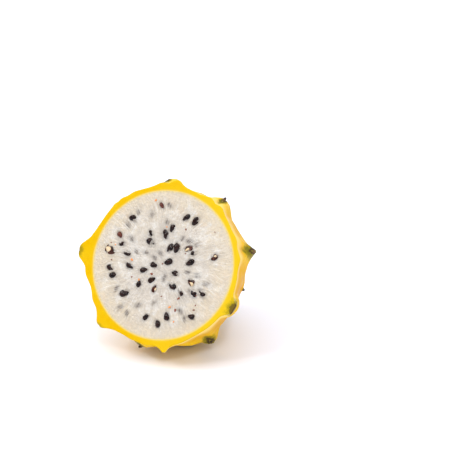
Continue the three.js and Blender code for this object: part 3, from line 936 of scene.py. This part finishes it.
# ---- rind ----
class DRAGONFRUIT_OT_grow_rind(bpy.types.Operator):
    """Grow the yellow rind with its tubercles, its cut edge and its hollow"""

    bl_idname = "dragonfruit.grow_rind"
    bl_label = "Grow rind"

    def execute(self, context):
        fruit, colours = fruit_and_colours(context)
        turn = all_round(SKIN_COLUMNS)
        skin, rise, foot = self.grow_skin(turn, fruit)
        hollow = self.line_hollow(turn, fruit)
        cut, across, inwards = self.cut_face(hollow[-1], skin[0])
        skin[0, :, 2] = -LIP
        rings = np.concatenate([hollow, cut, skin])
        piece = ring_body("rind_peel", rings, [0, 0, SEAM_INSIDE - fruit.pulp[1]], fruit.stem_end(), fruit)
        on_cut, on_skin = slice(HOLLOW_ROWS, HOLLOW_ROWS + CUT_ROWS), slice(HOLLOW_ROWS + CUT_ROWS, None)
        names = ("rise", "green", "dark", "seam", "side", "lip")
        rows = {name: np.zeros(rings.shape[:2]) for name in names}
        # The rise sets the painted shade of the hollows and the painted sheen of the crests, which counts
        # less far behind the cut.
        counted = between((CREST_SHARE_FAR_BACK, 1 - CREST_SHARE_FAR_BACK), bell(foot[..., 2], CREST_FADE))
        rows["rise"][on_skin] = np.clip(rise / CREST_HEIGHT * counted, 0, 1)
        rows["green"][on_skin], rows["dark"][on_skin] = tip_marks(foot, fruit.tubercles)
        rim = foot[:1] + 0 * inwards[..., None]
        rows["green"][on_cut], rows["dark"][on_cut] = tip_marks(rim, fruit.tubercles, inwards)
        rows["seam"][:HOLLOW_ROWS] = 1
        rows["seam"][on_cut] = bell(across, SEAM_WIDTH)
        # Painted highlight: how far right a point of the cut lies, which pales the cut rind there.
        rows["side"][:] = np.cos(turn)
        # Painted highlight: the pale lip along the cut edge, wider on two sides.
        pale_side = sum(bell_round(turn, *side) for side in PALE_LIP_SIDES)
        rows["lip"][on_skin] = bell(foot[..., 2], between(PALE_LIP, pale_side))
        for name, value in rows.items():
            paint_rings(piece, name, value)
        finish_piece(piece, RIND, skin_material(colours), cut_rind_material(colours))
        is_cut = [*(np.arange(len(rings) - 1) < on_skin.start), True, False]
        slots = np.repeat(is_cut, SKIN_COLUMNS).astype(np.int32)
        piece.data.polygons.foreach_set("material_index", slots)
        mark_sharp(piece, SKIN_COLUMNS, HOLLOW_ROWS - 1)
        return {"FINISHED"}

    def grow_skin(self, turn, fruit):
        """The outer skin: the tubercle formula, with soft waves added along the egg's normal."""
        latitude = np.linspace(0, 1, SKIN_ROWS + 1)[:-1, None] * math.pi / 2
        bare, rise = fruit.skin_point(turn, latitude)
        outward = egg_normal(turn, latitude, *fruit.skin)
        foot = bare - rise[..., None] * outward
        waves = sum(ripples(foot, *wave) for wave in SKIN_WAVES)
        return bare + waves[..., None] * outward, rise, foot

    def line_hollow(self, turn, fruit):
        """The smooth inner wall, from its far end to the cut."""
        latitude = np.linspace(1, 0, HOLLOW_ROWS + 1)[1:, None] * math.pi / 2
        return egg(turn, latitude, *(half_axis - SEAM_INSIDE for half_axis in fruit.pulp))

    def cut_face(self, inner, outer):
        """Rings of the flat cut, closer together at its rounded outer lip, and their place in it."""
        share = 1 - (1 - np.linspace(0, 1, CUT_ROWS + 2)[1:-1, None]) ** CUT_CROWDING
        face = inner * (1 - share[..., None]) + outer * share[..., None]
        width = np.linalg.norm(outer - inner, axis=-1)
        inwards = (1 - share) * width
        face[..., 2] = -LIP * np.clip(1 - inwards / LIP_REACH, 0, 1) ** 2
        return face, share * width, inwards


# ---- pulp ----
def along_and_across(place, x, y):
    """How far a point at x and y lies along and across a seed, from the seed's place."""
    dx, dy = x - place[0], y - place[1]
    sin, cos = np.sin(place[2]), np.cos(place[2])
    return dx * cos + dy * sin, dy * cos - dx * sin


def is_clear(place, other):
    """Whether a seed's place is clear of another, which takes more room along the seed than across."""
    along, across = along_and_across(place, *other[:2])
    return math.hypot(along / SEED_CLEARANCE_STRETCH, across) > SEED_CLEARANCE


def seed_places(radius):
    """Scattered places over the cut: radius field u^crowding, even angles, each clear of the others."""
    draw = draws(SEED_DRAW)
    places = []
    while len(places) < SEED_COUNT:
        away = SEED_FIELD * radius * next(draw) ** SEED_CROWDING
        angle = FULL_TURN * next(draw)
        turn = angle + SEED_SCATTER * (2 * next(draw) - 1)
        place = (away * math.cos(angle), away * math.sin(angle), turn, between(SEED_SIZE, next(draw)))
        if all(is_clear(place, other) and is_clear(other, place) for other in places):
            places.append(place)
    return np.array(places)


def seed_kinds():
    """What each seed is: whole and black, cut open, red-brown, or sunk under the pulp."""
    shares, kinds = zip(*SEED_KIND_SHARES)
    chances = drawn_rows(SEED_KIND_DRAW, SEED_COUNT, 1)[:, 0]
    return np.array(kinds)[np.searchsorted(shares, chances, side="right")]


def seed_distance(face, places):
    """How far each point is from each seed's middle, as a share of the seed's half size that way."""
    along, across = along_and_across(places.T, face[..., 0, None], face[..., 1, None])
    half_length, half_width = places[:, 3] * SEED_LENGTH / 2, places[:, 3] * SEED_WIDTH / 2
    return np.hypot(along / half_length, across / half_width)


def pulp_relief(face, places, kinds, radius):
    """Height of the cut pulp: shallow waves, swelling that climbs the seeds in places, and dips at
    the cut seeds, all fading out at the rim."""
    flat = face[..., :2]
    relief = sum(ripples(flat, *wave) for wave in PULP_WAVES)
    far = seed_distance(face, places[kinds != SUNK]).min(axis=-1)
    near = bell(np.maximum(far - SWELLING_START, 0), SWELLING_WIDTH)
    relief += near * (SWELLING_HEIGHT + ripples(flat, *SWELLING_WAVES))
    far = seed_distance(face, places[kinds == CUT]).min(axis=-1)
    relief -= DIP_HEIGHT * smooth(DIP_REACH - far)
    return relief * smooth((radius - np.hypot(face[..., 0], face[..., 1])) / RIM_FLAT)


def pulp_shade(face, places, kinds):
    """Grey of what lies under the surface, the sunk seeds, and painted shade in soft halos round the
    others.
    """
    far = seed_distance(face, places)
    uneven = 1 + ripples(face[..., :2], *HALO_WAVES)[..., None]
    # Painted shade: soft grey halos round the seeds that show.
    halo = HALO_GREY * bell(np.maximum(far - HALO_START, 0), HALO_WIDTH) * uneven
    halo += WIDE_HALO_GREY * bell(far, WIDE_HALO_WIDTH)
    sunk = SUNK_GREY * bell(far, SUNK_WIDTH) * uneven + WIDE_SUNK_GREY * bell(far, WIDE_SUNK_WIDTH)
    return np.clip(np.where(kinds == SUNK, sunk, halo), 0, DARKEST_GREY).max(axis=-1)


class DRAGONFRUIT_OT_grow_pulp(bpy.types.Operator):
    """Grow the white pulp with its cut face"""

    bl_idname = "dragonfruit.grow_pulp"
    bl_label = "Grow pulp"

    def execute(self, context):
        fruit, colours = fruit_and_colours(context)
        edge, depth = (half_axis - SEAM_INSIDE for half_axis in fruit.pulp)
        places, kinds = seed_places(fruit.pulp[0]), seed_kinds()
        turn = all_round(PULP_COLUMNS)
        face = polar(edge * np.linspace(0, 1, PULP_ROWS + 1)[1:, None], turn, 0.0)
        face[..., 2] = pulp_relief(face, places, kinds, edge)
        latitude = np.linspace(0, 1, PULP_BACK_ROWS + 1)[1:-1, None] * math.pi / 2
        back = egg(turn, latitude, edge - PULP_BACK_INSIDE, depth - PULP_BACK_INSIDE)
        rings = np.concatenate([face, back])
        poles = [0, 0, face[0, :, 2].mean()], [0, 0, PULP_BACK_INSIDE - depth]
        piece = ring_body("pulp", rings, *poles, fruit)
        shade = np.zeros(rings.shape[:2])
        shade[:PULP_ROWS] = pulp_shade(face, places, kinds)
        away = np.hypot(rings[..., 0], rings[..., 1])
        paint_rings(piece, "shade", shade)
        paint_rings(piece, "out", away / edge)
        self.lay_rays(piece, rings, away)
        finish_piece(piece, PULP, pulp_material(colours))
        mark_sharp(piece, PULP_COLUMNS, PULP_ROWS - 1)
        return {"FINISHED"}

    def lay_rays(self, piece, rings, away):
        """Coordinates for the fibres: slow outwards and quick round the axis, with a soft swirl."""
        angle = np.arctan2(rings[..., 1], rings[..., 0]) + ripples(rings[..., :2], *FIBRE_WAVES)
        rays = polar(FIBRES_ROUND * smooth(away / FIBRES_SPREAD), angle, away / FIBRE_LENGTH)
        rays = ring_points(rays, [0.0] * 3, [0.0] * 3).astype(np.float32)
        piece.data.attributes.new("rays", "FLOAT_VECTOR", "POINT").data.foreach_set("vector", rays.ravel())


# ---- seeds ----
def drop(sides, rings):
    """A plump drop lying along X: a circle swept along it, of width sin(s) (1 - 0.28 cos(s))."""
    s = np.linspace(0, math.pi, rings + 2)[1:-1, None]
    swept = polar(np.sin(s) * (1 - 0.28 * np.cos(s)), all_round(sides), -np.cos(s))[..., [2, 0, 1]]
    return ring_points(swept, [-1.0, 0, 0], [1.0, 0, 0]), ring_faces(rings, sides)


def place_drops(shape, places, full):
    """Copies of a drop: scaled to their half sizes, turned about Z and moved to x, y and height."""
    scaled = shape[None] * full[:, None]
    x, y, turn, height = places.T[..., None]
    cos, sin = np.cos(turn), np.sin(turn)
    return np.stack([
        scaled[..., 0] * cos - scaled[..., 1] * sin + x,
        scaled[..., 0] * sin + scaled[..., 1] * cos + y,
        scaled[..., 2] + height], axis=-1)


class DRAGONFRUIT_OT_sow_seeds(bpy.types.Operator):
    """Sow the black, red-brown and cut seeds in the cut face, and specks of torn seed coat"""

    bl_idname = "dragonfruit.sow_seeds"
    bl_label = "Sow seeds"

    def execute(self, context):
        self.fruit, colours = fruit_and_colours(context)
        places, kinds = seed_places(self.fruit.pulp[0]), seed_kinds()
        luck = drawn_rows(SEED_LUCK_DRAW, SEED_COUNT, 4).T
        even = np.ones(SEED_COUNT)
        full = places[:, 3:] * np.array([SEED_LENGTH / 2, SEED_WIDTH / 2, SEED_HALF_HEIGHT])
        full = full * np.stack([between(SEED_LONGER, luck[0]), between(SEED_WIDER, luck[1]), even], axis=-1)
        kernel = full * np.stack([
            between(KERNEL_LENGTH, luck[1]), between(KERNEL_WIDTH, luck[0]), KERNEL_HEIGHT * even], axis=-1)
        aside = between(KERNEL_ASIDE, luck[2]) * places[:, 3]
        moved = places + polar(aside, FULL_TURN * luck[3], 0.0) @ np.eye(3, 4)
        sink = -full[:, 2] * between(SEED_SINK, luck[2])
        black = seed_material("black seed coat", colours.seed_black, colours.seed_glow)
        red = seed_material("red seed coat", colours.seed_red, colours.seed_red_glow)
        torn = seed_material("torn seed coat", colours.seed_black, colours.seed_torn)
        cream = kernel_material(colours)
        cut, shell = kinds == CUT, full * SHELL_SIZE
        self.sow("seeds_black", places, kinds == BLACK, full, sink, black)
        self.sow("seeds_red", places, kinds == RED, full * RED_SIZE, RED_SINK * sink, red)
        self.sow("seed_shells", places, cut, shell, SHELL_DEPTH * even, torn, CUT_SEED_DENT)
        self.sow("seed_kernels", moved, cut, kernel, KERNEL_DEPTH * even, cream, CUT_SEED_DENT)
        self.sow_specks(colours)
        return {"FINISHED"}

    def sow(self, name, places, chosen, full, height, material, dent=SEED_DENT):
        """One object with the chosen seeds, each dented by a share of its half width."""
        shape, faces = drop(SEED_SIDES, SEED_RINGS)
        spots = np.column_stack([places[:, :3], height])[chosen]
        placed = place_drops(shape, spots, full[chosen])
        placed = placed + full[chosen][:, None, 1:2] * dent * ripples(placed, *SEED_WAVES)[..., None]
        finish_piece(copies(name, placed, faces, self.fruit), PULP, material)

    def sow_specks(self, colours):
        """Specks of torn seed coat, scattered evenly over the cut: field sqrt(u), and size by u^2."""
        out, angle, turn, size, colour = drawn_rows(SPECK_DRAW, SPECK_COUNT, 5).T
        places = polar(SPECK_FIELD * self.fruit.pulp[0] * np.sqrt(out), FULL_TURN * angle, math.pi * turn)
        full = np.outer(between(SPECK_SIZE, size**2), SPECK_SHAPE)
        orange = colour < SPECK_ORANGE_SHARE
        for name, chosen, tone in (
                ("specks_orange", orange, colours.speck_orange),
                ("specks_brown", ~orange, colours.seed_red_glow)):
            material = seed_material(name.replace("_", " "), tone, tone)
            self.sow(name, places, chosen, full, np.full(SPECK_COUNT, SPECK_HEIGHT), material)


# ---- bracts and their arms ----
def beside_tip(one, to_round, to_stem, fruit):
    """Points of the skin beside a tubercle's tip, from offsets round the fruit and to the stem end."""
    flat = one.foot + np.multiply.outer(to_round, one.round) + np.multiply.outer(to_stem, one.stemward)
    latitude = np.arcsin(np.clip(-flat[..., 2] / fruit.skin[1], 0, 1))
    return fruit.skin_point(np.arctan2(flat[..., 1], flat[..., 0]), latitude)[0]


def bract_points(one, areole, fruit):
    """A small scale lying on the skin, pointed towards the cut: width sin(pi s)^0.7, thin at its edge."""
    s = np.linspace(0, 1, BRACT_ROWS)[:, None]
    t = np.linspace(-1, 1, BRACT_COLUMNS)[None]
    width = BRACT_WIDTH / 2 * np.sin(math.pi * np.clip(s, 0.02, 0.98)) ** 0.7 * (1.25 - 0.7 * s)
    along = areole.stemward + BRACT_LENGTH * (0.5 - s) + 0.4
    along = np.maximum(along, BRACT_CLEAR_OF_CUT - one.depth)
    base = beside_tip(one, areole.round + width * t, along + 0 * t, fruit)
    swell = np.sin(math.pi * np.clip(s, 0.03, 0.97)) ** 0.5
    lift = BRACT_THICKNESS * np.sqrt(np.clip(1 - t**2, 0, 1)) * swell
    sheets = [base + one.outward * side[..., None] for side in (lift, -(0.25 * lift + 0.05))]
    return np.stack(sheets).reshape(-1, 3), np.maximum(np.abs(t), (2 * s - 1) ** 2)


def sheet_faces(rows, columns):
    """Faces of two facing sheets of points, joined round their edge."""
    number = np.arange(rows * columns).reshape(rows, columns)
    corners = number[:-1, :-1], number[:-1, 1:], number[1:, 1:], number[1:, :-1]
    top = np.stack(corners, axis=-1).reshape(-1, 4)
    border = np.concatenate([number[0], number[1:, -1], number[-1, -2::-1], number[-2:0:-1, 0]])
    following = np.roll(border, -1)
    wall = np.stack([following, border, border + number.size, following + number.size], axis=-1)
    return np.concatenate([top, top[:, ::-1] + number.size, wall]), np.zeros((0, 3), int)


class DRAGONFRUIT_OT_grow_bracts(bpy.types.Operator):
    """Grow a bract and the short dark-tipped arms at each areole"""

    bl_idname = "dragonfruit.grow_bracts"
    bl_label = "Grow bracts"

    def execute(self, context):
        fruit, colours = fruit_and_colours(context)
        armed = [(one, areole) for one, areole in zip(fruit.tubercles, areoles()) if areole.arms]
        leaves, edges = zip(*(bract_points(one, areole, fruit) for one, areole in armed))
        piece = copies("bracts", np.stack(leaves), sheet_faces(BRACT_ROWS, BRACT_COLUMNS), fruit)
        paint(piece, "edge", np.repeat(edges, 2, axis=0))
        finish_piece(piece, RIND, bract_material(colours))
        shape, faces = drop(ARM_SIDES, ARM_RINGS)
        arms = self.lay_arms(shape, armed, fruit)
        piece = copies("areole_arms", arms, faces, fruit)
        paint(piece, "along", np.tile(shape[:, 0], len(arms)))
        finish_piece(piece, RIND, arm_material(colours))
        return {"FINISHED"}

    def lay_arms(self, shape, armed, fruit):
        """Short plump arms that fan out from each areole and end in dark buttons."""
        draw = draws(AREOLE_DRAW)
        placed = []
        for one, areole in armed:
            root = beside_tip(one, np.array(areole.round), np.array(areole.stemward), fruit)
            lean = ARM_LEAN * (len(areole.arms) > 1)
            start = FULL_TURN * next(draw)
            for k, reach in enumerate(areole.arms):
                heading = start + FULL_TURN * (k + 0.5 * next(draw)) / len(areole.arms)
                fan = math.cos(heading) * one.round + math.sin(heading) * one.stemward
                axis = one.outward + lean * fan - ARM_LEAN_TO_CUT * one.stemward
                axis = axis / np.linalg.norm(axis)
                first = np.cross(axis, one.stemward)
                first = first / np.linalg.norm(first)
                girth = ARM_RADIUS * between(ARM_GIRTH, next(draw))
                scaled = shape * np.array([reach / 2 + ARM_ROOT, girth, girth])
                middle = root + axis * (reach / 2 - ARM_ROOT)
                placed.append(middle + scaled @ np.stack([axis, first, np.cross(axis, first)]))
        return np.stack(placed)


# ---- stem scar ----
class DRAGONFRUIT_OT_cap_stem(bpy.types.Operator):
    """Close the stem end with its corky scar"""

    bl_idname = "dragonfruit.cap_stem"
    bl_label = "Cap stem end"

    def execute(self, context):
        fruit, colours = fruit_and_colours(context)
        base = fruit.stem_end()[2]
        turn = all_round(SCAR_SIDES)
        s = np.linspace(0, 1, SCAR_RINGS)[:, None]
        rings = polar(self.scar_radius(s, turn), turn, base - self.scar_height(s, turn))
        poles = [0, 0, base + SCAR_ROOT], [0, 0, base - SCAR_DISH]
        piece = ring_body("stem_scar", rings, *poles, fruit)
        finish_piece(piece, RIND, cork_material(colours))
        return {"FINISHED"}

    def scar_radius(self, s, turn):
        """A neck that narrows a little to its rim, then closes over the end, with an uneven outline."""
        neck = SCAR_RADIUS * (1.12 - 0.2 * smooth(s / 0.45))
        closing = np.where(s > 0.45, 1 - smooth((s - 0.45) / 0.6) * 0.97, 1)
        return neck * closing * (1 + 0.05 * np.sin(3 * turn + 0.6) + 0.03 * np.sin(7 * turn + 2))

    def scar_height(self, s, turn):
        """Rises out of the skin to the rim, sinks to a shallow dish inside it, and is finely ridged."""
        height = -2.0 + 3.4 * smooth(s / 0.5) - 0.9 * smooth((s - 0.55) / 0.3)
        return height + 0.12 * np.sin(11 * turn + 9 * s) * smooth((s - 0.4) / 0.3)


# ---- stage ----
# Each far lamp: name, direction towards it, how wide it is in degrees, and the setting of its strength.
LAMPS = (
    ("ceiling", (0, 0, 1.0), 60, "top_light"),
    ("left window", (-0.9, -0.5, 1.0), 26, "left_light"),
    ("front window", (0.25, -1.0, 0.55), 70, "front_light"),
    ("right window", (0.9, -0.3, 0.8), 50, "right_light"),
    ("left lamp", (-0.45, -0.75, 1.0), 6, "lamp_light"),
    ("right lamp", (0.4, -0.7, 0.9), 6, "lamp_light"),
)
TABLE_REACH = 40.0


class DRAGONFRUIT_OT_set_stage(bpy.types.Operator):
    """Set the table, the light and the camera"""

    bl_idname = "dragonfruit.set_stage"
    bl_label = "Set stage"

    def execute(self, context):
        stage = context.scene.fruit_stage
        self.lay_table(stage)
        self.hang_lights(context.scene, stage)
        self.place_camera(context.scene, Fruit(context.scene.fruit_sizes), stage)
        return {"FINISHED"}

    def lay_table(self, stage):
        """A wide pale sheet, level with the frame's floor."""
        mesh = bpy.data.meshes.new("table")
        corners = [(x * TABLE_REACH, y * TABLE_REACH, 0) for x, y in ((-1, -1), (1, -1), (1, 1), (-1, 1))]
        mesh.from_pydata(corners, [], [(0, 1, 2, 3)])
        top = Paint("table top")
        top.fill(top.shader, Base_Color=stage.table_colour, Roughness=0.9)
        mesh.materials.append(top.material)
        stand("table", mesh)

    def hang_lights(self, scene, stage):
        """A white room, and far lamps so wide that the table is lit evenly and shadows are soft."""
        scene.world = bpy.data.worlds.new("white room")
        scene.world.use_nodes = True
        room = scene.world.node_tree.nodes["Background"].inputs
        room["Color"].default_value = (1, 1, 1, 1)
        room["Strength"].default_value = stage.room_light
        for name, towards, width, setting in LAMPS:
            data = bpy.data.lights.new(name, "SUN")
            data.angle = math.radians(width)
            data.energy = getattr(stage, setting)
            lamp = stand(name, data)
            lamp.rotation_euler = (-Vector(towards)).to_track_quat("-Z", "Y").to_euler()

    def place_camera(self, scene, fruit, stage):
        """The camera looks down past the cut face, which sits left of and below the middle."""
        turn, dip = stage.camera_turn, stage.camera_dip
        ahead = Vector((-math.sin(turn) * math.cos(dip), math.cos(turn) * math.cos(dip), -math.sin(dip)))
        right = Vector((math.cos(turn), math.sin(turn), 0))
        up = right.cross(ahead)
        face = Vector(fruit.lay_down(np.zeros(3)))
        place = face - right * stage.face_aside + up * stage.face_below - ahead * stage.camera_away
        data = bpy.data.cameras.new("camera")
        data.sensor_width = 36
        data.lens = stage.camera_lens
        data.clip_start = 0.01
        turned = Matrix((right, up, -ahead)).transposed()
        scene.camera = stand("camera", data)
        scene.camera.matrix_world = Matrix.Translation(place) @ turned.to_4x4()
        scene.view_settings.view_transform = "Standard"


class DRAGONFRUIT_PT_panel(bpy.types.Panel):
    """The sidebar panel that lists the settings and the pieces"""

    bl_idname = "DRAGONFRUIT_PT_panel"
    bl_label = "Yellow dragon fruit half"
    bl_space_type = "VIEW_3D"
    bl_region_type = "UI"
    bl_category = "Dragon fruit"

    def draw(self, context):
        for name, group in SETTINGS.items():
            column = self.layout.column()
            for key in group.__annotations__:
                column.prop(getattr(context.scene, name), key)
        for operator in OPERATORS:
            self.layout.operator(operator.bl_idname)


OPERATORS = (
    DRAGONFRUIT_OT_grow_rind,
    DRAGONFRUIT_OT_grow_pulp,
    DRAGONFRUIT_OT_sow_seeds,
    DRAGONFRUIT_OT_grow_bracts,
    DRAGONFRUIT_OT_cap_stem,
    DRAGONFRUIT_OT_set_stage,
)
SETTINGS = {"fruit_sizes": FruitSizes, "fruit_colours": FruitColours, "fruit_stage": StageSettings}
CLASSES = (*SETTINGS.values(), *OPERATORS, DRAGONFRUIT_PT_panel)


def register():
    for kind in CLASSES:
        bpy.utils.register_class(kind)
    for name, group in SETTINGS.items():
        setattr(bpy.types.Scene, name, bpy.props.PointerProperty(type=group))


def unregister():
    for name in SETTINGS:
        delattr(bpy.types.Scene, name)
    for kind in reversed(CLASSES):
        bpy.utils.unregister_class(kind)


def main():
    register()
    bpy.ops.dragonfruit.grow_rind()
    bpy.ops.dragonfruit.grow_pulp()
    bpy.ops.dragonfruit.sow_seeds()
    bpy.ops.dragonfruit.grow_bracts()
    bpy.ops.dragonfruit.cap_stem()
    bpy.ops.dragonfruit.set_stage()


if __name__ == "__main__":
    main()
